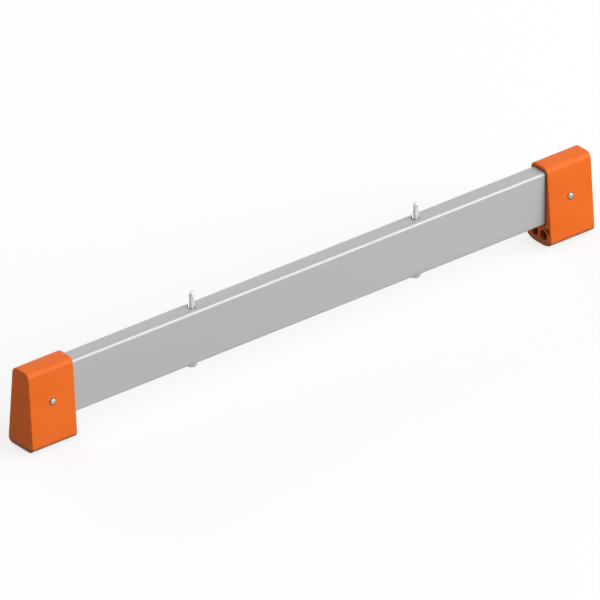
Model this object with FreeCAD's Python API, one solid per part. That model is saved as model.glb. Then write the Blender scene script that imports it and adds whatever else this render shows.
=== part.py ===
"""Stabiliser beam: an aluminium tube carried on two moulded end feet, with two upright bolts.

X runs along the beam, Y from the front to the back and Z up. The origin is on the floor, below the
middle of the beam. All sizes are in millimetres.
"""

import FreeCAD, Part
import math
import os

# Beam tube: a rectangular extrusion with rounded corners
beam_length = 900.0
tube_height = 75.0
tube_depth = 25.0
tube_wall = 2.0
tube_corner_radius = 4.5
tube_floor_height = 30.0

# End cap: outer form
cap_length = 71.0
cap_end_wall = 5.0
cap_roof = 5.8
cap_top_width = 30.8
cap_side_draft = 4.75
cap_top_radius = 9.0
sole_flat_width = 10.0
sole_crown_radius = 36.0
sole_edge_radius = 7.0
sole_toe_radius = 5.0
cap_outer_rim_chamfer = 1.0
cap_inner_rim_chamfer = 0.6

# End cap: socket for the tube, and the hollows in the foot
socket_clearance = 0.2
socket_lead_in = 1.4
bore_diameter = 14.0
bore_spacing = 17.4
bore_floor = 7.4
bore_end_wall = 11.0
bore_ring_wall = 2.9
corner_core_side_wall = 3.2
corner_core_roof = 4.3
corner_core_rise = 4.0

# Bolts: hexagon heads below, shanks standing out of the top of the tube
bolt_spacing = 358.0
bolt_shank_diameter = 7.2
bolt_length = 98.0
bolt_thread_length = 20.0
bolt_thread_diameter = 7.9
bolt_tip_chamfer = 1.0
bolt_head_flats = 13.0
bolt_head_height = 5.3
bolt_head_face_diameter = 12.4
bolt_head_chamfer_angle = 30.0
bolt_hole_diameter = 10.5

# Washers under the bolt heads
washer_diameter = 16.0
washer_thickness = 1.6
washer_clearance = 0.25

# Tapping screws that hold the caps
screw_from_end = 36.0
screw_height = 63.0
screw_head_diameter = 8.0
screw_head_height = 3.0
screw_head_rim = 1.2
screw_head_top_diameter = 5.6
screw_recess_width = 0.9
screw_recess_span = 4.4
screw_recess_depth = 1.6
screw_core_diameter = 3.5
screw_length = 13.0
screw_pilot_clearance = 0.05
screw_seat_depth = 0.95
screw_hole_clearance = 0.5
counterbore_clearance = 1.0

X_AXIS = FreeCAD.Vector(1, 0, 0)
Y_AXIS = FreeCAD.Vector(0, 1, 0)
Z_AXIS = FreeCAD.Vector(0, 0, 1)
ORIGIN = FreeCAD.Vector(0, 0, 0)

# Two places closer than this count as one
same_place = 0.01

# Places worked out from the sizes above
tube_length = beam_length - 2 * cap_end_wall
tube_top = tube_floor_height + tube_height
tube_middle = tube_floor_height + tube_height / 2
cap_height = tube_top + cap_roof
cap_outer_x = -beam_length / 2
cap_inner_x = cap_outer_x + cap_length
socket_end_x = cap_outer_x + cap_end_wall
socket_floor = tube_floor_height - socket_clearance
side_slope = math.tan(math.radians(cap_side_draft))
bore_height = bore_floor + bore_diameter / 2
bearing_height = tube_floor_height - washer_thickness


def half_width(height):
    """Half width of the cap at a height, between its two drafted side faces."""
    return cap_top_width / 2 + (cap_height - height) * side_slope


screw_seat = half_width(screw_height) - screw_seat_depth


def rounded_section(depth, height, radius, x):
    """Rectangular wire with rounded corners in the plane at x, centred on the tube."""
    y = depth / 2
    z = height / 2
    bend = radius * (1 - math.sqrt(0.5))

    def point(py, pz):
        return FreeCAD.Vector(x, py, tube_middle + pz)

    edges = []
    for side_y, side_z in ((1, 1), (-1, 1), (-1, -1), (1, -1)):
        near_side = point(side_y * y, side_z * (z - radius))
        near_top = point(side_y * (y - radius), side_z * z)
        middle = point(side_y * (y - bend), side_z * (z - bend))
        first, last = (near_side, near_top) if side_y == side_z else (near_top, near_side)
        if edges:
            edges.append(Part.makeLine(edges[-1].Vertexes[-1].Point, first))
        edges.append(Part.Arc(first, middle, last).toShape())
    edges.append(Part.makeLine(edges[-1].Vertexes[-1].Point, edges[0].Vertexes[0].Point))
    return Part.Wire(edges)


def tube_prism(inset, start_x, end_x):
    """Solid of the tube's outer section, set in (or out, if negative) all round."""
    section = rounded_section(
        tube_depth - 2 * inset,
        tube_height - 2 * inset,
        tube_corner_radius - inset,
        start_x,
    )
    return Part.Face(section).extrude(X_AXIS * (end_x - start_x))


def cylinder_along(axis, diameter, length, base):
    """Cylinder of a diameter, from a base point along an axis."""
    return Part.makeCylinder(diameter / 2, length, base, axis)


def revolved(profile):
    """Solid turned about Z from a closed list of (radius, height) points."""
    points = [FreeCAD.Vector(radius, 0, height) for radius, height in profile]
    face = Part.Face(Part.makePolygon(points + points[:1]))
    return face.revolve(ORIGIN, Z_AXIS, 360)


def beam_tube():
    """Hollow tube with bolt holes through top and bottom, and pilot holes for the cap screws."""
    end_x = tube_length / 2
    tube = tube_prism(0, -end_x, end_x).cut(tube_prism(tube_wall, -end_x, end_x))
    for side in (-1, 1):
        bolt_base = FreeCAD.Vector(side * bolt_spacing / 2, 0, tube_floor_height)
        tube = tube.cut(cylinder_along(Z_AXIS, bolt_hole_diameter, tube_height, bolt_base))
        screw_x = side * (beam_length / 2 - screw_from_end)
        pilot_base = FreeCAD.Vector(screw_x, -tube_depth / 2, screw_height)
        pilot_diameter = screw_core_diameter + 2 * screw_pilot_clearance
        tube = tube.cut(cylinder_along(Y_AXIS, pilot_diameter, tube_depth, pilot_base))
    return tube


def cap_outline():
    """Closed section of the cap: flat top, drafted sides and a crowned sole with a flat middle."""
    flat = sole_flat_width / 2
    radius = sole_crown_radius
    # The crown is an arc about (flat, radius); it meets the side face y = foot - slope * z.
    foot = half_width(0) - flat
    square_term = 1 + side_slope ** 2
    half_linear_term = foot * side_slope + radius
    root = math.sqrt(half_linear_term ** 2 - square_term * foot ** 2)
    edge_z = (half_linear_term - root) / square_term
    edge_y = half_width(edge_z)
    half_turn = math.atan2(edge_y - flat, radius - edge_z) / 2
    arc_y = flat + radius * math.sin(half_turn)
    arc_z = radius - radius * math.cos(half_turn)
    top_y = cap_top_width / 2

    def point(y, z):
        return FreeCAD.Vector(cap_outer_x, y, z)

    return Part.Wire([
        Part.makeLine(point(-flat, 0), point(flat, 0)),
        Part.Arc(point(flat, 0), point(arc_y, arc_z), point(edge_y, edge_z)).toShape(),
        Part.makeLine(point(edge_y, edge_z), point(top_y, cap_height)),
        Part.makeLine(point(top_y, cap_height), point(-top_y, cap_height)),
        Part.makeLine(point(-top_y, cap_height), point(-edge_y, edge_z)),
        Part.Arc(point(-edge_y, edge_z), point(-arc_y, arc_z), point(-flat, 0)).toShape(),
    ])


def long_edges(solid, low, high):
    """Edges that run along the cap between two heights."""
    boxes = [(edge, edge.BoundBox) for edge in solid.Edges]
    return [edge for edge, box in boxes if box.XLength > same_place and low < box.Center.z < high]


def rim_edges(solid, x):
    """Edges that lie in the end plane at x."""
    boxes = [(edge, edge.BoundBox) for edge in solid.Edges]
    return [edge for edge, box in boxes if abs(box.XMin - x) + box.XLength < same_place]


def toe_limit():
    """Block round the left cap whose lower outer edge is rounded, which turns up the sole's end."""
    corner = FreeCAD.Vector(cap_outer_x, -half_width(0), 0)
    block = Part.makeBox(cap_length, 2 * half_width(0), cap_height, corner)
    low_edges = [edge for edge in rim_edges(block, cap_outer_x) if edge.BoundBox.ZMax < same_place]
    return block.makeFillet(sole_toe_radius, low_edges)


def cap_body():
    """Solid outer form of the left cap: rounded long edges, bevelled rims and a turned-up toe."""
    body = Part.Face(cap_outline()).extrude(X_AXIS * cap_length)
    body = body.makeFillet(cap_top_radius, long_edges(body, tube_middle, cap_height + same_place))
    body = body.makeFillet(sole_edge_radius, long_edges(body, same_place, tube_floor_height))
    body = body.makeChamfer(cap_outer_rim_chamfer, rim_edges(body, cap_outer_x))
    body = body.makeChamfer(cap_inner_rim_chamfer, rim_edges(body, cap_inner_x))
    return body.common(toe_limit())


def socket():
    """Space for the tube end, with a flared mouth."""
    pocket = tube_prism(-socket_clearance, socket_end_x, cap_inner_x)
    narrow = rounded_section(
        tube_depth + 2 * socket_clearance,
        tube_height + 2 * socket_clearance,
        tube_corner_radius + socket_clearance,
        cap_inner_x - socket_lead_in,
    )
    wide = rounded_section(
        tube_depth + 2 * (socket_clearance + socket_lead_in),
        tube_height + 2 * (socket_clearance + socket_lead_in),
        tube_corner_radius + socket_clearance + socket_lead_in,
        cap_inner_x,
    )
    return pocket.fuse(Part.makeLoft([narrow, wide], True, True))


def foot_hollows():
    """Two round bores and two corner cores, open at the inner end of the cap."""
    depth = cap_length - bore_end_wall
    inward = X_AXIS * -1
    core_top = socket_floor - corner_core_roof
    core_low = bore_height + corner_core_rise
    hollows = []
    for side in (-1, 1):
        mouth = FreeCAD.Vector(cap_inner_x, side * bore_spacing / 2, bore_height)
        hollows.append(cylinder_along(inward, bore_diameter, depth, mouth))
        corners = [
            (bore_spacing / 2, core_low),
            (half_width(core_low) - corner_core_side_wall, core_low),
            (half_width(core_top) - corner_core_side_wall, core_top),
            (bore_spacing / 2, core_top),
        ]
        points = [FreeCAD.Vector(cap_inner_x, side * y, z) for y, z in corners]
        core = Part.Face(Part.makePolygon(points + points[:1])).extrude(inward * depth)
        ring_diameter = bore_diameter + 2 * bore_ring_wall
        hollows.append(core.cut(cylinder_along(inward, ring_diameter, depth, mouth)))
    return hollows


def screw_seats():
    """Holes for the screws through the front and the rear wall, each with a shallow flat seat."""
    spaces = []
    for side in (-1, 1):
        axis = Y_AXIS * side
        screw_x = cap_outer_x + screw_from_end
        seat = FreeCAD.Vector(screw_x, side * screw_seat, screw_height)
        middle = FreeCAD.Vector(screw_x, 0, screw_height)
        head_space = screw_head_diameter + 2 * counterbore_clearance
        shank_space = screw_core_diameter + 2 * screw_hole_clearance
        spaces.append(cylinder_along(axis, head_space, half_width(0), seat))
        spaces.append(cylinder_along(axis, shank_space, half_width(0), middle))
    return spaces


def end_cap():
    """One-piece moulded foot for the left end of the tube."""
    return cap_body().cut([socket()] + foot_hollows() + screw_seats())


def bolt():
    """Hexagon-head bolt standing head down, with its bearing face at the height of Z = 0."""
    corner_radius = bolt_head_flats / math.sqrt(3)
    corners = []
    for step in range(6):
        turn = math.radians(90 + 60 * step)
        corners.append(FreeCAD.Vector(corner_radius * math.cos(turn), corner_radius * math.sin(turn), 0))
    hexagon = Part.Face(Part.makePolygon(corners + corners[:1])).extrude(Z_AXIS * -bolt_head_height)
    face_radius = bolt_head_face_diameter / 2
    chamfer_drop = (corner_radius - face_radius) * math.tan(math.radians(bolt_head_chamfer_angle))
    head_limit = revolved([
        (0, 0),
        (corner_radius, 0),
        (corner_radius, chamfer_drop - bolt_head_height),
        (face_radius, -bolt_head_height),
        (0, -bolt_head_height),
    ])
    thread_start = bolt_length - bolt_thread_length
    shank = revolved([
        (0, 0),
        (bolt_shank_diameter / 2, 0),
        (bolt_shank_diameter / 2, thread_start),
        (bolt_thread_diameter / 2, thread_start),
        (bolt_thread_diameter / 2, bolt_length - bolt_tip_chamfer),
        (bolt_thread_diameter / 2 - bolt_tip_chamfer, bolt_length),
        (0, bolt_length),
    ])
    return hexagon.common(head_limit).fuse(shank).removeSplitter()


def washer():
    """Flat washer with its upper face at the height of Z = 0."""
    base = Z_AXIS * -washer_thickness
    ring = cylinder_along(Z_AXIS, washer_diameter, washer_thickness, base)
    hole = bolt_thread_diameter + 2 * washer_clearance
    return ring.cut(cylinder_along(Z_AXIS, hole, washer_thickness, base))


def screw():
    """Pan-head tapping screw with a cross recess, head up, with its bearing face at Z = 0."""
    head_radius = screw_head_diameter / 2
    core_radius = screw_core_diameter / 2
    solid = revolved([
        (0, screw_head_height),
        (screw_head_top_diameter / 2, screw_head_height),
        (head_radius, screw_head_rim),
        (head_radius, 0),
        (core_radius, 0),
        (core_radius, -screw_length),
        (0, -screw_length),
    ])
    recess_floor = screw_head_height - screw_recess_depth
    for length, width in (
        (screw_recess_span, screw_recess_width),
        (screw_recess_width, screw_recess_span),
    ):
        corner = FreeCAD.Vector(-length / 2, -width / 2, recess_floor)
        solid = solid.cut(Part.makeBox(length, width, screw_recess_depth, corner))
    return solid


def placed(shape, position, turn=None):
    """Copy of a shape, turned about the origin and then moved to a position."""
    result = shape.copy()
    result.Placement = FreeCAD.Placement(position, turn or FreeCAD.Rotation())
    return result


def build_parts():
    """All pieces in place, by name."""
    half_turn = FreeCAD.Rotation(Z_AXIS, 180)
    cap = end_cap()
    pieces = {
        "beam_tube": beam_tube(),
        "left_end_cap": cap,
        "right_end_cap": placed(cap, ORIGIN, half_turn),
    }
    for name, side in (("left", -1), ("right", 1)):
        bolt_x = side * bolt_spacing / 2
        pieces[name + "_bolt"] = placed(bolt(), FreeCAD.Vector(bolt_x, 0, bearing_height))
        pieces[name + "_bolt_washer"] = placed(washer(), FreeCAD.Vector(bolt_x, 0, tube_floor_height))
        screw_x = side * (beam_length / 2 - screw_from_end)
        for face, outward in (("front", -1), ("rear", 1)):
            seat = FreeCAD.Vector(screw_x, outward * screw_seat, screw_height)
            turn = FreeCAD.Rotation(Z_AXIS, Y_AXIS * outward)
            pieces[name + "_" + face + "_screw"] = placed(screw(), seat, turn)
    return pieces


os.makedirs("parts", exist_ok=True)
for node, shape in build_parts().items():
    shape.exportStep("parts/" + node + ".step")
    print(node, shape.isValid(), len(shape.Solids), round(shape.Volume, 1))
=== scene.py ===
# %% [markdown]
# # Stabiliser beam
# The object is a cross beam for the foot of a scaffold or a ladder: a rectangular aluminium
# tube, a moulded plastic foot pushed over each end, and two long bolts that stand out of its top.
# The main shapes arrive as a finished CAD model, called the frame. This lesson keeps the shapes
# that are already right, gives them finishes, and swaps the small fasteners for finer ones.

# %% Load the frame
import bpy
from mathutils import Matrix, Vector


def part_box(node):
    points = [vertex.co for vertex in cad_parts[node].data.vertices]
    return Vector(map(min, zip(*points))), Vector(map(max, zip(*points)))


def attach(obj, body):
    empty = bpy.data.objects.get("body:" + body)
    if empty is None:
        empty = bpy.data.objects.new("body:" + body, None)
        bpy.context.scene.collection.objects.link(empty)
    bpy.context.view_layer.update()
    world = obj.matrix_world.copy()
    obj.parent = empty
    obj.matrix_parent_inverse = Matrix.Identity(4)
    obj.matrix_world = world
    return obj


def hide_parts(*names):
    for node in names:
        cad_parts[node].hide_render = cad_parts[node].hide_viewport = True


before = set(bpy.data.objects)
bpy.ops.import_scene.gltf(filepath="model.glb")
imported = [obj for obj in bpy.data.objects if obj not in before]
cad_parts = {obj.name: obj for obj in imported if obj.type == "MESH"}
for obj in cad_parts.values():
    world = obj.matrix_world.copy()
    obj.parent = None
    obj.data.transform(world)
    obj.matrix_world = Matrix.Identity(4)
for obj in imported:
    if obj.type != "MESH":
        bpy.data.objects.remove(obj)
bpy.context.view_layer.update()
print("CAD nodes:", ", ".join(sorted(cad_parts)))

# %% [markdown]
# ## The camera
# The photograph has no vanishing points: the beam's edges stay parallel, as in a drawing. An
# orthographic camera would give that, but its frame would not grow when the beam is looked at
# from another side. A very long lens a long way off gives the same picture and still reframes.
# The two angles, the scale and the aim were measured from the edges of the beam in the photograph.

# %% Camera
import bpy
import numpy as np
from math import cos, radians, sin
from mathutils import Vector

MM = 0.001
CAMERA_AZIMUTH = radians(-39.35)
CAMERA_ELEVATION = radians(29.0)
FRAME_WIDTH = 742.0 * MM
AIM_RIGHT = -4.4 * MM
AIM_UP = -13.75 * MM
LENS = 1650.0
SENSOR = 36.0
FARTHEST_SEEN = 100

toward_camera = Vector((sin(CAMERA_AZIMUTH) * cos(CAMERA_ELEVATION),
                        -cos(CAMERA_AZIMUTH) * cos(CAMERA_ELEVATION),
                        sin(CAMERA_ELEVATION)))
camera_turn = toward_camera.to_track_quat("Z", "Y")
tube_low, tube_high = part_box("beam_tube")
tube_centre = (tube_low + tube_high) / 2
aim = tube_centre + camera_turn @ Vector((AIM_RIGHT, AIM_UP, 0))

camera_data = bpy.data.cameras.new("camera")
camera_data.lens = LENS
camera_data.sensor_width = SENSOR
camera_data.clip_end = FARTHEST_SEEN
camera = bpy.data.objects.new("camera", camera_data)
camera.rotation_mode = "QUATERNION"
camera.rotation_quaternion = camera_turn
camera.location = aim + toward_camera * (FRAME_WIDTH * LENS / SENSOR)
scene = bpy.context.scene
scene.collection.objects.link(camera)
scene.camera = camera
scene.view_settings.view_transform = "Standard"
print("camera distance, m:", round((camera.location - aim).length, 2))

# %% [markdown]
# ## White surroundings
# A product picture stands on white. If the white came from strong lamps, the object would be too
# bright, so the surroundings tell the kinds of light ray apart instead. A ray from the camera, or
# one that a shiny surface reflects, sees white. A ray that only carries soft light from one surface
# to another sees a grey, which sets how deep the shaded sides are. Straight overhead the white is a
# little dimmer, like a studio's ceiling, so that rounded metal edges show a darker line.
# Blender describes such rules as a tree of linked nodes, so the first functions add nodes.

# %% Node helpers and the world
def add_node(tree, kind, inputs=None, **settings):
    """Adds a node, sets its options by name, and fills or links its inputs by name or number."""
    node = tree.nodes.new(kind)
    for name, value in settings.items():
        setattr(node, name, value)
    for name, value in (inputs or {}).items():
        if isinstance(value, bpy.types.NodeSocket):
            tree.links.new(value, node.inputs[name])
        else:
            node.inputs[name].default_value = value
    return node


def maths(tree, operation, *values):
    """The result of one sum; each value is a number or another node's output."""
    return add_node(tree, "ShaderNodeMath", dict(enumerate(values)), operation=operation).outputs[0]


def map_range(tree, value, start, end, low=0.0, high=1.0, **settings):
    """Low where the value is at start, high where it is at end, and held beyond either."""
    inputs = {"Value": value, "From Min": start, "From Max": end, "To Min": low, "To Max": high}
    return add_node(tree, "ShaderNodeMapRange", inputs, **settings).outputs["Result"]


def sees_white(tree):
    """One for rays from the camera, off a shiny surface or through glass, zero for the others."""
    path = add_node(tree, "ShaderNodeLightPath")
    total = path.outputs["Is Camera Ray"]
    for name in ("Is Glossy Ray", "Is Transmission Ray"):
        total = maths(tree, "MAXIMUM", total, path.outputs[name])
    return total


WHITE = (1, 1, 1, 1)
SOFT_LIGHT = 0.50
CEILING = 0.70
CEILING_START = 0.52
CEILING_FULL = 0.95

world = bpy.data.worlds.new("white surroundings")
world.use_nodes = True
scene.world = world
sky = world.node_tree
sky.nodes.clear()
sight = add_node(sky, "ShaderNodeTexCoord").outputs["Generated"]
upward = add_node(sky, "ShaderNodeSeparateXYZ", {0: sight}).outputs["Z"]
dimming = map_range(sky, upward, CEILING_START, CEILING_FULL, 1.0, CEILING)
soft = add_node(sky, "ShaderNodeBackground", {"Color": WHITE, "Strength": SOFT_LIGHT})
white = add_node(sky, "ShaderNodeBackground", {"Color": WHITE, "Strength": dimming})
chosen = add_node(sky, "ShaderNodeMixShader",
                  {0: sees_white(sky), 1: soft.outputs[0], 2: white.outputs[0]})
add_node(sky, "ShaderNodeOutputWorld", {"Surface": chosen.outputs[0]})
print("soft light:", SOFT_LIGHT, "ceiling:", CEILING)

# %% [markdown]
# ## The floor
# The beam stands on its two feet, so the floor lies just under them. Its material adds a plain
# matt white, which takes the shadow, to a glow that only the camera and shiny surfaces see, the
# latter a little weaker. Far out it fades to clear, so that no edge shows against the white world,
# and from below it is clear all over.

# %% Floor
FLOOR_DROP = 0.1 * MM
FLOOR_HALF_WIDTH = 3.0
FADE_START = 0.9
FADE_END = 2.4
FLOOR_GLOW = 0.74
FLOOR_SHEEN = 0.62
FLOOR_SEEN = 0.26
FLOOR_BOUNCE = 0.12


def floor_finish():
    """Matt white plus a glow for the camera, mixed to clear far from the middle and from below."""
    material = bpy.data.materials.new("white floor")
    material.use_nodes = True
    tree = material.node_tree
    tree.nodes.clear()
    seen = sees_white(tree)
    grey = map_range(tree, seen, 0, 1, FLOOR_BOUNCE, FLOOR_SEEN)
    matt = add_node(tree, "ShaderNodeBsdfDiffuse", {"Color": grey})
    straight = add_node(tree, "ShaderNodeLightPath").outputs["Is Camera Ray"]
    level = map_range(tree, straight, 0, 1, FLOOR_SHEEN, FLOOR_GLOW)
    glow = add_node(tree, "ShaderNodeEmission", {"Strength": maths(tree, "MULTIPLY", seen, level)})
    lit = add_node(tree, "ShaderNodeAddShader", {0: matt.outputs[0], 1: glow.outputs[0]})
    place = add_node(tree, "ShaderNodeTexCoord").outputs["Object"]
    distance = add_node(tree, "ShaderNodeVectorMath", {0: place}, operation="LENGTH")
    fade = map_range(tree, distance.outputs["Value"], FADE_START, FADE_END,
                     interpolation_type="SMOOTHSTEP")
    below = add_node(tree, "ShaderNodeNewGeometry").outputs["Backfacing"]
    clear = add_node(tree, "ShaderNodeBsdfTransparent")
    mixed = add_node(tree, "ShaderNodeMixShader", {0: maths(tree, "MAXIMUM", fade, below),
                                                   1: lit.outputs[0], 2: clear.outputs[0]})
    add_node(tree, "ShaderNodeOutputMaterial", {"Surface": mixed.outputs[0]})
    return material


floor_mesh = bpy.data.meshes.new("floor")
floor_corners = FLOOR_HALF_WIDTH * np.array([[-1, -1, 0], [1, -1, 0], [1, 1, 0], [-1, 1, 0]])
floor_corners[:, 2] = -FLOOR_DROP
floor_mesh.from_pydata(floor_corners.tolist(), [], [[0, 1, 2, 3]])
floor = bpy.data.objects.new("floor", floor_mesh)
scene.collection.objects.link(floor)
floor_mesh.materials.append(floor_finish())
print("floor half width, m:", FLOOR_HALF_WIDTH)

# %% [markdown]
# ## The lamps
# In the photograph the front is bright, the top a little brighter, and the end face on the left
# lies in shade. So the main lamp stands in front, to the right and above. A weaker one stands low
# behind the beam, where the camera's picture hardly changes, and keeps the back from going dark
# in other views. Both are large, because a small lamp draws a hard, mirror-like streak.
# A lamp's level is given as the light it throws on a surface that faces it: at level one, a matt
# surface looks exactly as bright as its colour says. Seen as a reflection, though, the main lamp is
# brighter than white and would wash out the metal, so a part of its light comes from a twin close
# behind it that shiny surfaces don't mirror.

# %% Lamps
MAIN_DIRECTION = (0.56, -0.71, 0.43)
MAIN_SIZE = (13.0, 6.5)
MAIN_LEVEL = 0.90
TWIN_LEVEL = 0.34
BACK_DIRECTION = (0.05, 0.97, 0.22)
BACK_SIZE = (6.0, 4.0)
BACK_LEVEL = 0.40
LAMP_DISTANCE = 9.0
TWIN_DISTANCE = 9.1


def softbox(name, direction, level, size, distance=LAMP_DISTANCE, mirrored=True):
    """A wide lamp that faces the beam; its power is level times pi squared times distance squared."""
    lamp = bpy.data.lights.new(name, "AREA")
    lamp.shape = "RECTANGLE"
    lamp.size, lamp.size_y = size
    lamp.energy = level * np.pi ** 2 * distance ** 2
    holder = bpy.data.objects.new(name, lamp)
    direction = Vector(direction).normalized()
    holder.location = tube_centre + direction * distance
    holder.rotation_mode = "QUATERNION"
    holder.rotation_quaternion = direction.to_track_quat("Z", "Y")
    holder.visible_glossy = mirrored
    scene.collection.objects.link(holder)
    print(name, "power, W:", round(lamp.energy, 1))


softbox("main lamp", MAIN_DIRECTION, MAIN_LEVEL, MAIN_SIZE)
softbox("main lamp's twin", MAIN_DIRECTION, TWIN_LEVEL, MAIN_SIZE, TWIN_DISTANCE, mirrored=False)
softbox("back lamp", BACK_DIRECTION, BACK_LEVEL, BACK_SIZE)

# %% [markdown]
# ## Satin aluminium
# The tube is an extrusion: hot metal is pushed through a steel die, whose tiny flaws drag long,
# straight lines down the whole length. A picture of such metal could be stretched along it, but a
# noise pattern pulled out a hundredfold or more along X gives the same lines with no seam. It shifts
# the grey and the roughness a little, and presses faint grooves into the surface. A dull skin of
# oxide covers the bare metal, so the shader is only partly metallic. Painted shade darkens the joint
# with the feet and the metal round the bolts: the ambient occlusion node measures how far nearby
# surfaces close a point in, and the closed-in places are painted dark.

# %% Aluminium finish
NOISE_LOW, NOISE_HIGH = 0.3, 0.7
OCCLUSION_SAMPLES = 8
# Reach, the share of open air where the painted shade starts, the share where it is full, and the most
# painted shade
TUBE_GAP_SHADE = (4.0 * MM, 0.70, 0.30, 0.88)
DIE_LINES_PER_METRE = (3, 1300, 1300)
BANDS_PER_METRE = (1.2, 160, 160)
LINE_WEIGHT = 0.6
DARK_GREY = (0.470, 0.470, 0.472)
LIGHT_GREY = (0.500, 0.500, 0.502)
# The colour of the painted shade in the joint with the feet and round the bolts
GAP_SHADE_COLOUR = (0.055, 0.022, 0.008)
OXIDE_METALLIC = 0.45
ALUMINIUM_ROUGHNESS = (0.45, 0.51)
LINE_STRENGTH = 0.12
LINE_DEPTH = 0.05 * MM


def new_finish(name):
    """A new material with its node tree and its shader."""
    material = bpy.data.materials.new(name)
    material.use_nodes = True
    return material, material.node_tree, material.node_tree.nodes["Principled BSDF"]


def noise(tree, per_metre, detail=2.0):
    """A noise pattern in Object coordinates, with so many grains in a metre along each axis."""
    place = add_node(tree, "ShaderNodeTexCoord").outputs["Object"]
    spread = add_node(tree, "ShaderNodeMapping", {"Vector": place, "Scale": per_metre})
    return add_node(tree, "ShaderNodeTexNoise",
                    {"Vector": spread.outputs[0], "Scale": 1.0, "Detail": detail}).outputs["Fac"]


def scaled(tree, value, low=0.0, high=1.0):
    """Carries the useful middle of a noise pattern over to the range low to high."""
    return map_range(tree, value, NOISE_LOW, NOISE_HIGH, low, high)


def blend_colours(tree, factor, *colours):
    """A colour between two, by a factor of zero to one; each is a triple or another node's output."""
    first, second = [colour if isinstance(colour, bpy.types.NodeSocket) else (*colour, 1)
                     for colour in colours]
    return add_node(tree, "ShaderNodeMix", {0: factor, 6: first, 7: second},
                    data_type="RGBA").outputs[2]


def closed_in(tree, reach, start_share, full_share, most):
    """Zero in open air, rising to most where surfaces within reach shut off the view around a point."""
    air = add_node(tree, "ShaderNodeAmbientOcclusion", {"Distance": reach}, samples=OCCLUSION_SAMPLES)
    return map_range(tree, air.outputs["AO"], start_share, full_share, 0.0, most)


def relief(tree, height, strength, depth, **more):
    """A normal that tilts as if the pattern stood out of the surface by a depth."""
    inputs = {"Height": height, "Strength": strength, "Distance": depth, **more}
    return add_node(tree, "ShaderNodeBump", inputs).outputs[0]


def connect(tree, shader, **values):
    """Links or sets the shader's inputs, which are named with _ for each space."""
    for name, value in values.items():
        socket = shader.inputs[name.replace("_", " ")]
        if isinstance(value, bpy.types.NodeSocket):
            tree.links.new(value, socket)
        else:
            socket.default_value = value


def aluminium_finish():
    """Metal whose grey, roughness and relief follow fine lines along X over a cloudier, wider band."""
    material, tree, shader = new_finish("satin_aluminium")
    die_lines = noise(tree, DIE_LINES_PER_METRE, detail=3.0)
    bands = noise(tree, BANDS_PER_METRE)
    both = maths(tree, "MULTIPLY_ADD", die_lines, LINE_WEIGHT, bands)
    streaks = maths(tree, "DIVIDE", both, 1 + LINE_WEIGHT)
    grey = blend_colours(tree, scaled(tree, streaks), DARK_GREY, LIGHT_GREY)
    # Painted shade: closed-in places at the joints and round the bolts are painted dark
    gap_shaded = blend_colours(tree, closed_in(tree, *TUBE_GAP_SHADE), grey, GAP_SHADE_COLOUR)
    connect(tree, shader, Base_Color=gap_shaded, Metallic=OXIDE_METALLIC,
            Roughness=scaled(tree, streaks, *ALUMINIUM_ROUGHNESS),
            Normal=relief(tree, die_lines, LINE_STRENGTH, LINE_DEPTH))
    return material


def dress(node_name, material):
    """Puts one finish on every material slot of a CAD node."""
    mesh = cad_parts[node_name].data
    mesh.materials.clear()
    mesh.materials.append(material)
    print(node_name, "is finished in", material.name)


satin_aluminium = aluminium_finish()
dress("beam_tube", satin_aluminium)

# %% [markdown]
# ## Moulded orange plastic
# The feet are injection mouldings. The steel mould is etched, so the plastic comes out with a fine,
# even grain that hides scratches and keeps the gloss low. The colour drifts a little where the melt
# flowed, and the edges are painted a touch paler, as a painted highlight. A rounding worked out by
# the shader softens the bevelled rims, and comparing its normal with the plain one finds the edges.
# Along the rounded edge of the sole, the lowest few millimetres are painted darker by their height,
# with an uneven border, as painted shade. Painted shade also darkens the narrow gaps round the
# screws and beside the tube, and deep in the bores, which the same measure as on the tube finds with
# a longer reach.

# %% Plastic finish
DRIFT_PER_METRE = (14, 14, 30)
GRAIN_PER_METRE = (1100, 1100, 1100)
RAGGED_PER_METRE = (120, 120, 300)
DEEP_ORANGE = (0.805, 0.142, 0.010)
BRIGHT_ORANGE = (0.865, 0.160, 0.014)
# A painted highlight: the colour the edges are painted towards
EDGE_HIGHLIGHT_ORANGE = (0.95, 0.24, 0.04)
# The colour of the painted shade along the bottom of the feet
LOW_SHADE_BROWN = (0.26, 0.115, 0.055)
# The colour of the painted shade in the gaps and the bores
RECESS_SHADE_COLOUR = (0.09, 0.030, 0.012)
EDGE_WIDTH = 0.8 * MM
EDGE_SAMPLES = 4
EDGE_START = 0.99
EDGE_FULL = 0.80
MOST_EDGE_HIGHLIGHT = 0.2
LOW_SHADE_TOP = 10.5 * MM
LOW_SHADE_FULL = 6.0 * MM
LOW_SHADE_BORDER = 3.0 * MM
MOST_LOW_SHADE = 0.75
# Reach, the share of open air where the painted shade starts, the share where it is full, and the most
# painted shade
CAP_GAP_SHADE = (4.0 * MM, 0.72, 0.30, 0.92)
CAP_BORE_SHADE = (16.0 * MM, 0.54, 0.15, 0.92)
GRAIN_STRENGTH = 0.25
GRAIN_DEPTH = 0.08 * MM
PLASTIC_ROUGHNESS = (0.44, 0.56)
LOW_GLOSS = 0.22


def height_above_floor(tree):
    """The height of a point, from its Object coordinates."""
    place = add_node(tree, "ShaderNodeTexCoord").outputs["Object"]
    return add_node(tree, "ShaderNodeSeparateXYZ", {0: place}).outputs["Z"]


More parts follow.
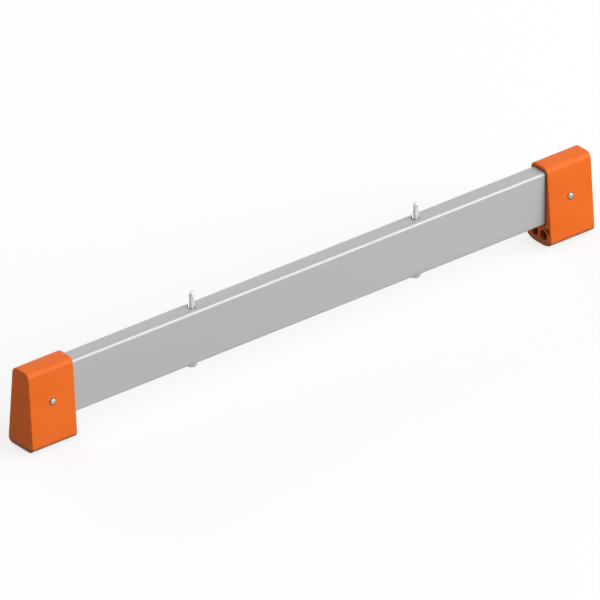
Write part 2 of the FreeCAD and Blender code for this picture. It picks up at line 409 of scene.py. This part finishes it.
def plastic_finish():
    """Matt plastic: a slow drift of orange, edges painted paler as a painted highlight, painted shade low
    down and in gaps and bores, and a grain as relief.
    """
    material, tree, shader = new_finish("moulded_orange")
    drift = scaled(tree, noise(tree, DRIFT_PER_METRE, detail=3.0))
    grain = noise(tree, GRAIN_PER_METRE)
    orange = blend_colours(tree, drift, DEEP_ORANGE, BRIGHT_ORANGE)
    rounded = add_node(tree, "ShaderNodeBevel", {"Radius": EDGE_WIDTH}, samples=EDGE_SAMPLES).outputs[0]
    flat = add_node(tree, "ShaderNodeNewGeometry").outputs["Normal"]
    likeness = add_node(tree, "ShaderNodeVectorMath", {0: rounded, 1: flat}, operation="DOT_PRODUCT")
    # Painted highlight: the edges found by the rounding are painted paler
    edge = map_range(tree, likeness.outputs["Value"], EDGE_START, EDGE_FULL, 0.0, MOST_EDGE_HIGHLIGHT)
    edge_highlighted = blend_colours(tree, edge, orange, EDGE_HIGHLIGHT_ORANGE)
    # Painted shade: the lowest few millimetres are painted darker by their height, with an uneven border
    ragged = scaled(tree, noise(tree, RAGGED_PER_METRE, detail=4.0), -LOW_SHADE_BORDER / 2, LOW_SHADE_BORDER / 2)
    border = maths(tree, "ADD", height_above_floor(tree), ragged)
    low_shade = map_range(tree, border, LOW_SHADE_TOP, LOW_SHADE_FULL, 0.0, MOST_LOW_SHADE)
    low_shaded = blend_colours(tree, low_shade, edge_highlighted, LOW_SHADE_BROWN)
    # Painted shade: closed-in places in the gaps and the bores are painted dark
    recess = maths(tree, "MAXIMUM", closed_in(tree, *CAP_BORE_SHADE), closed_in(tree, *CAP_GAP_SHADE))
    recess_shaded = blend_colours(tree, recess, low_shaded, RECESS_SHADE_COLOUR)
    connect(tree, shader, Base_Color=recess_shaded, Roughness=scaled(tree, grain, *PLASTIC_ROUGHNESS),
            Specular_IOR_Level=LOW_GLOSS,
            Normal=relief(tree, grain, GRAIN_STRENGTH, GRAIN_DEPTH, Normal=rounded))
    return material


moulded_orange = plastic_finish()
for cap in ("left_end_cap", "right_end_cap"):
    dress(cap, moulded_orange)

# %% [markdown]
# ## Zinc plating
# The bolts, washers and screws are steel with a thin coat of zinc. It is brighter than the tube,
# but cloudy where the plating crystals differ, so a fine noise moves its roughness between nearly
# polished and satin. On the screws and what is under the beam, closer to wet ground, a skin of oxide
# makes it less metallic, and its colour is painted darker, as painted shade; the studs on top are
# painted lighter, as painted light. The height above the floor blends the two.

# %% Zinc finish
CLOUDS_PER_METRE = (420, 420, 420)
# Between these heights the zinc goes from less metallic with painted shade to more metallic with painted
# light
DULL_SHADED_BELOW = 80 * MM
BRIGHT_LIT_ABOVE = 100 * MM
DULL_METALLIC = 0.40
BRIGHT_METALLIC = 0.85
# Darker zinc low down is painted shade, lighter zinc high up is painted light
DULL_SHADED_ZINC = ((0.53, 0.535, 0.54), (0.61, 0.61, 0.605))
BRIGHT_LIT_ZINC = ((0.73, 0.74, 0.75), (0.82, 0.82, 0.81))
ZINC_ROUGHNESS = (0.36, 0.50)


def zinc_finish():
    """Metal with a fine cloudy change of grey and roughness, less metallic and painted darker low down as
    painted shade, and painted lighter high up as painted light.
    """
    material, tree, shader = new_finish("zinc_plating")
    cloud = noise(tree, CLOUDS_PER_METRE, detail=4.0)
    patches = scaled(tree, cloud)
    dull = blend_colours(tree, patches, *DULL_SHADED_ZINC)
    bright = blend_colours(tree, patches, *BRIGHT_LIT_ZINC)
    # Painted shade low down and painted light high up, blended by height together with the metallic
    shine_and_painted_light = map_range(tree, height_above_floor(tree), DULL_SHADED_BELOW, BRIGHT_LIT_ABOVE)
    connect(tree, shader, Base_Color=blend_colours(tree, shine_and_painted_light, dull, bright),
            Metallic=map_range(tree, shine_and_painted_light, 0, 1, DULL_METALLIC, BRIGHT_METALLIC),
            Roughness=scaled(tree, cloud, *ZINC_ROUGHNESS))
    return material


zinc_plating = zinc_finish()
print("fasteners are finished in", zinc_plating.name)

# %% [markdown]
# ## From a grid to a mesh
# Every fastener is turned or rolled round an axis, so each is a grid of points: the rows follow its
# outline from one end of the axis to the other, and the columns go round. A grid is worked out as a
# whole array. Points that fall on each other, at the seam, on the axis or where two grids meet, are
# then welded, which closes the surface.

# %% Grid helper
import bmesh

WELD = 0.0005 * MM
SHARP_EDGE = radians(32)


def round_angles(columns):
    """Angles once round the axis, with the last the same direction as the first."""
    return np.linspace(0.0, 2 * np.pi, columns + 1)


def ring_rows(outline, angles):
    """Plain rings: each (radius, height) pair of an outline carried once round the axis."""
    outline = np.array(outline, float)
    return (np.repeat(outline[:, :1], len(angles), axis=1),
            np.repeat(outline[:, 1:], len(angles), axis=1))


def upright(parts, angles):
    """Points about the Z axis, in millimetres, from parts that each hold rows of radii and heights."""
    radii, heights = (np.vstack(rows) for rows in zip(*parts))
    return np.stack([radii * np.cos(angles), radii * np.sin(angles), heights], axis=-1)


def grid_faces(points, first):
    """Four-sided faces between neighbours in a grid of points, whose numbers start at first."""
    rows, columns = points.shape[:2]
    number = first + np.arange(rows * columns).reshape(rows, columns)
    faces = np.stack([number[:-1, :-1], number[:-1, 1:], number[1:, 1:], number[1:, :-1]], axis=-1)
    return faces.reshape(-1, 4)


def grid_piece(name, grids, node_name):
    """One mesh in place of a CAD node, from grids of points (rows, columns, xyz) that are welded."""
    points = np.vstack([grid.reshape(-1, 3) for grid in grids])
    firsts = np.cumsum([0] + [grid[..., 0].size for grid in grids])
    faces = np.vstack([grid_faces(grid, first) for grid, first in zip(grids, firsts)])
    mesh = bpy.data.meshes.new(name)
    mesh.from_pydata(points.tolist(), [], faces.tolist())
    welded = bmesh.new()
    welded.from_mesh(mesh)
    bmesh.ops.remove_doubles(welded, verts=welded.verts, dist=WELD)
    open_edges = sum(len(edge.link_faces) != 2 for edge in welded.edges)
    welded.to_mesh(mesh)
    welded.free()
    mesh.shade_smooth()
    mesh.set_sharp_from_angle(angle=SHARP_EDGE)
    mesh.materials.append(zinc_plating)
    piece = bpy.data.objects.new(name, mesh)
    scene.collection.objects.link(piece)
    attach(piece, "root")
    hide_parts(node_name)
    print(name, "faces:", len(mesh.polygons), "open edges:", open_edges)


def middle(node_name):
    """The middle of a CAD node's box, in millimetres."""
    low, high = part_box(node_name)
    return np.array((low + high) / 2) / MM


# %% [markdown]
# ## A rolled thread
# A bolt's thread is one groove wound up the shank. Cutting rings around it would be simpler, but
# rings don't rise. Here each row of the grid climbs by one pitch as it goes round, so the end of a
# row meets the start of the row one turn higher. The radius of a row depends only on where it lies
# across the groove: flat root, sloping flank, flat crest, sloping flank.

# %% Thread helper
GROOVE_PLACES = np.array([0.0, 0.10, 0.35, 0.65, 0.90])
GROOVE_HEIGHTS = np.array([0.0, 0.0, 1.0, 1.0, 0.0])


def smooth_step(value):
    """Rises from zero to one between zero and one, flat at both ends."""
    value = np.clip(value, 0.0, 1.0)
    return value * value * (3 - 2 * value)


def wound_thread(angles, bottom, top, pitch, core, root, crest, tip, tip_slope, fade):
    """Radius and height of each point of a thread between two heights, as arrays of rows by columns.

    Height = row height + pitch times angle over a full turn, held between bottom and top. Radius =
    root + groove height times (crest - root), eased from the plain core over the length fade and
    cut off by a cone that is tip wide at the top.
    """
    turns = np.arange(-1, int(np.ceil((top - bottom) / pitch)) + 1)
    row_heights = bottom + pitch * (turns[:, None] + GROOVE_PLACES).ravel()
    profile = root + (crest - root) * np.tile(GROOVE_HEIGHTS, len(turns))
    heights = np.clip(row_heights[:, None] + pitch * angles / (2 * np.pi), bottom, top)
    ease = smooth_step((heights - bottom) / fade)
    radii = core + ease * (profile[:, None] - core)
    return np.minimum(radii, tip + (top - heights) * tip_slope), heights


print("groove profile:", list(zip(GROOVE_PLACES.tolist(), GROOVE_HEIGHTS.tolist())))

# %% [markdown]
# ## The two long bolts
# Each bolt comes up through the tube from below, so its hexagon head is under the beam and only
# the threaded end shows above. The hexagon is a circle whose radius changes with the angle: the
# distance to the nearest of six flats, with the six corners very slightly rounded, as forging
# leaves them. A shallow cone trims the corners of the head's outer face, which is dished a little.

# %% Bolts
BOLT_COLUMNS = 72
HEAD_FACE_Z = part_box("left_bolt")[0].z / MM
HEAD_SEAT_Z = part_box("left_bolt_washer")[0].z / MM
HEAD_FLATS = 13.0
HEAD_FACE_RADIUS = 6.2
HEAD_TRIM_SLOPE = np.tan(radians(30))
HEAD_TURN = radians(-60)
CORNER_POWER = 80
DISH_DEPTH = 0.12
DISH_RADIUS = 5.1
DISH_RIM_RADIUS = 5.4
WASHER_FACE_RADIUS = 5.9
WASHER_FACE_HEIGHT = 0.25
SHANK_RADIUS = 3.6
NECK_FILLET = 0.4
NECK_STEPS = 6
THREAD_IN_TUBE = 6.0
THREAD_START_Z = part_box("beam_tube")[1].z / MM - THREAD_IN_TUBE
BOLT_TIP_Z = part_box("left_bolt")[1].z / MM
BOLT_PITCH = 1.25
BOLT_THREAD_FADE = 1.5 * BOLT_PITCH
CREST_RADIUS = 3.95
ROOT_RADIUS = 3.35
TIP_RADIUS = 2.95
BOLT_TIP_SLOPE = 1.0


def hexagon_radius(angles, flats):
    """Half the flats over the largest cosine to the six flats, softened by a high power."""
    directions = np.arange(6) * np.pi / 3
    cosines = np.clip(np.cos(angles[:, None] - directions), 0.0, None)
    return flats / 2 / (cosines ** CORNER_POWER).sum(axis=1) ** (1 / CORNER_POWER)


def bolt_points():
    """The whole bolt on the Z axis, from the middle of the head's outer face up to the tip."""
    angles = round_angles(BOLT_COLUMNS)
    corner = hexagon_radius(angles, HEAD_FLATS)
    face = ring_rows([(0, HEAD_FACE_Z + DISH_DEPTH), (DISH_RADIUS, HEAD_FACE_Z + DISH_DEPTH),
                      (DISH_RIM_RADIUS, HEAD_FACE_Z), (HEAD_FACE_RADIUS, HEAD_FACE_Z)], angles)
    trim = HEAD_FACE_Z + np.clip(corner - HEAD_FACE_RADIUS, 0, None) * HEAD_TRIM_SLOPE
    under = HEAD_SEAT_Z - WASHER_FACE_HEIGHT
    walls = (np.stack([corner, corner]), np.stack([trim, np.full_like(corner, under)]))
    turn = np.linspace(0, np.pi / 2, NECK_STEPS)
    fillet = np.stack([SHANK_RADIUS + NECK_FILLET * (1 - np.sin(turn)),
                       HEAD_SEAT_Z + NECK_FILLET * (1 - np.cos(turn))], axis=1)
    neck = ring_rows([(WASHER_FACE_RADIUS, under), (WASHER_FACE_RADIUS, HEAD_SEAT_Z),
                      *fillet, (SHANK_RADIUS, THREAD_START_Z)], angles)
    thread = wound_thread(angles, THREAD_START_Z, BOLT_TIP_Z, BOLT_PITCH, SHANK_RADIUS, ROOT_RADIUS,
                          CREST_RADIUS, TIP_RADIUS, BOLT_TIP_SLOPE, BOLT_THREAD_FADE)
    tip = ring_rows([(TIP_RADIUS, BOLT_TIP_Z), (0, BOLT_TIP_Z)], angles)
    return upright((face, walls, neck, thread, tip), angles + HEAD_TURN)


bolt_shape = bolt_points()
for side in ("left", "right"):
    bolt_axis = middle(f"{side}_bolt") * [1, 1, 0]
    grid_piece(f"{side}_threaded_bolt", [(bolt_shape + bolt_axis) * MM], f"{side}_bolt")

# %% [markdown]
# ## Washers
# A washer is stamped from sheet, which rounds its edges. Its section is therefore a rectangle with
# soft corners, drawn as a superellipse: an ellipse whose sine and cosine are raised to a small
# power until it fills its box. The section is carried once round the bolt.

# %% Washers
WASHER_OUTER = 8.0
WASHER_INNER = 4.2
WASHER_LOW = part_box("left_bolt_washer")[0].z / MM
WASHER_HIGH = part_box("left_bolt_washer")[1].z / MM
WASHER_COLUMNS = 64
SECTION_POINTS = 40
SECTION_POWER = 0.22


def signed_power(values):
    """Each value's size raised to the section's power, with its sign kept."""
    return np.sign(values) * np.abs(values) ** SECTION_POWER


def washer_points():
    """Middle of the section plus half its size times a signed power of cosine and sine."""
    angles = round_angles(WASHER_COLUMNS)
    turn = np.append(np.linspace(-np.pi, np.pi, SECTION_POINTS, endpoint=False), -np.pi)
    across = signed_power(np.cos(turn))
    along = signed_power(np.sin(turn))
    radii = (WASHER_OUTER + WASHER_INNER) / 2 + across * (WASHER_OUTER - WASHER_INNER) / 2
    heights = (WASHER_HIGH + WASHER_LOW) / 2 + along * (WASHER_HIGH - WASHER_LOW) / 2
    return upright([ring_rows(np.stack([radii, heights], axis=1), angles)], angles)


washer_shape = washer_points()
for side in ("left", "right"):
    washer_axis = middle(f"{side}_bolt_washer") * [1, 1, 0]
    grid_piece(f"{side}_stamped_washer", [(washer_shape + washer_axis) * MM], f"{side}_bolt_washer")

# %% [markdown]
# ## Cap screws
# A pan-head tapping screw holds each side of a foot to the tube, sunk in a round recess. The head is
# a low dome with a cross-shaped driver recess. A round grid would cut the straight walls of the
# cross into steps, so the middle of the dome is a second grid: a square one, pressed into a disc,
# whose lines run along the cross. Its outer points give the columns of the round grid about it.

# %% Screws
SCREW_HEAD_RADIUS = 4.0
SCREW_HEAD_EDGE = 0.15
SCREW_RIM = 1.1
SCREW_DOME = 1.9
DOME_STEPS = 13
CROWN_RADIUS = 3.0
MIDDLE_LINES = 4
ARM_LINES = 9
OUTER_LINES = 5
RECESS_HALF_SPAN = 2.2
RECESS_HALF_WIDTH = 0.48
RECESS_DEPTH = 1.6
RECESS_WALL = 0.1
RECESS_RISE = 0.55
DRIVER_TURN = radians(28)
SCREW_LENGTH = 13.0
SCREW_CORE = 1.7
SCREW_ROOT = 1.3
SCREW_CREST = 1.78
SCREW_TIP = 0.5
SCREW_TIP_SLOPE = 0.7
SCREW_PITCH = 1.4
NECK_LENGTH = 0.6


def cross_depth(x, y):
    """Depth of the driver recess: its floor, which rises outwards, times the way in over the wall."""
    arm = np.minimum(RECESS_HALF_SPAN - np.abs(x), RECESS_HALF_WIDTH - np.abs(y))
    other = np.minimum(RECESS_HALF_SPAN - np.abs(y), RECESS_HALF_WIDTH - np.abs(x))
    inside = np.clip(np.maximum(arm, other) / RECESS_WALL, 0.0, 1.0)
    return inside * RECESS_DEPTH * (1 - RECESS_RISE * np.hypot(x, y) / RECESS_HALF_SPAN)


def dome_height(radii):
    """Height of the head: the rim plus the dome times (1 - the cube of radius over head radius) ** 0.6."""
    return SCREW_RIM + SCREW_DOME * (1 - (radii / SCREW_HEAD_RADIUS) ** 3) ** 0.6


def crown_points():
    """The middle of the head: each side of a square times the root of 1 - half the other one squared."""
    half = np.concatenate([np.linspace(0, RECESS_HALF_WIDTH - RECESS_WALL, MIDDLE_LINES),
                           np.linspace(RECESS_HALF_WIDTH, RECESS_HALF_SPAN - RECESS_WALL, ARM_LINES),
                           np.linspace(RECESS_HALF_SPAN, CROWN_RADIUS, OUTER_LINES)])
    line = np.append(-half[:0:-1], half)
    across, along = np.meshgrid(line, line)
    x = across * np.sqrt(1 - (along / CROWN_RADIUS) ** 2 / 2)
    y = along * np.sqrt(1 - (across / CROWN_RADIUS) ** 2 / 2)
    return np.stack([x, y, dome_height(np.hypot(x, y)) - cross_depth(across, along)], axis=-1)


def border_angles(grid):
    """Angles of a grid's border points, once round from its first corner and back to it."""
    border = np.concatenate([grid[0, :-1], grid[:-1, -1], grid[-1, :0:-1], grid[:0:-1, 0]])
    angles = np.unwrap(np.arctan2(border[:, 1], border[:, 0]))
    return np.append(angles, angles[0] + 2 * np.pi)


def screw_body_points(angles):
    """The screw on the Z axis from its tip up to the crown of its head; the head's seat is at zero."""
    radii, from_neck = wound_thread(angles, 0.0, SCREW_LENGTH - NECK_LENGTH, SCREW_PITCH, SCREW_CORE,
                                    SCREW_ROOT, SCREW_CREST, SCREW_TIP, SCREW_TIP_SLOPE, SCREW_PITCH)
    thread = (radii[::-1], -NECK_LENGTH - from_neck[::-1])
    tip = ring_rows([(0, -SCREW_LENGTH), (SCREW_TIP, -SCREW_LENGTH)], angles)
    rim = ring_rows([(SCREW_CORE, -NECK_LENGTH), (SCREW_CORE, 0.0),
                     (SCREW_HEAD_RADIUS - SCREW_HEAD_EDGE, 0.0),
                     (SCREW_HEAD_RADIUS, SCREW_HEAD_EDGE)], angles)
    inward = np.cos(np.linspace(0, np.pi / 2, DOME_STEPS))
    dome_radii = CROWN_RADIUS + (SCREW_HEAD_RADIUS - CROWN_RADIUS) * inward
    dome = ring_rows(np.stack([dome_radii, dome_height(dome_radii)], axis=1), angles)
    return upright((tip, thread, rim, dome), angles)


crown = crown_points()
screw_shape = [screw_body_points(border_angles(crown)), crown]
spin = np.array([[cos(DRIVER_TURN), sin(DRIVER_TURN), 0], [-sin(DRIVER_TURN), cos(DRIVER_TURN), 0],
                 [0, 0, 1]])
screw_middle = (SCREW_RIM + SCREW_DOME - SCREW_LENGTH) / 2
for side in ("left", "right"):
    for face, out_y in (("front", -1), ("rear", 1)):
        outward = np.array([[-out_y, 0, 0], [0, 0, 1], [0, out_y, 0]])
        place = middle(f"{side}_{face}_screw") - [0, out_y * screw_middle, 0]
        grid_piece(f"{side}_{face}_pan_screw",
                   [(grid @ spin @ outward + place) * MM for grid in screw_shape],
                   f"{side}_{face}_screw")
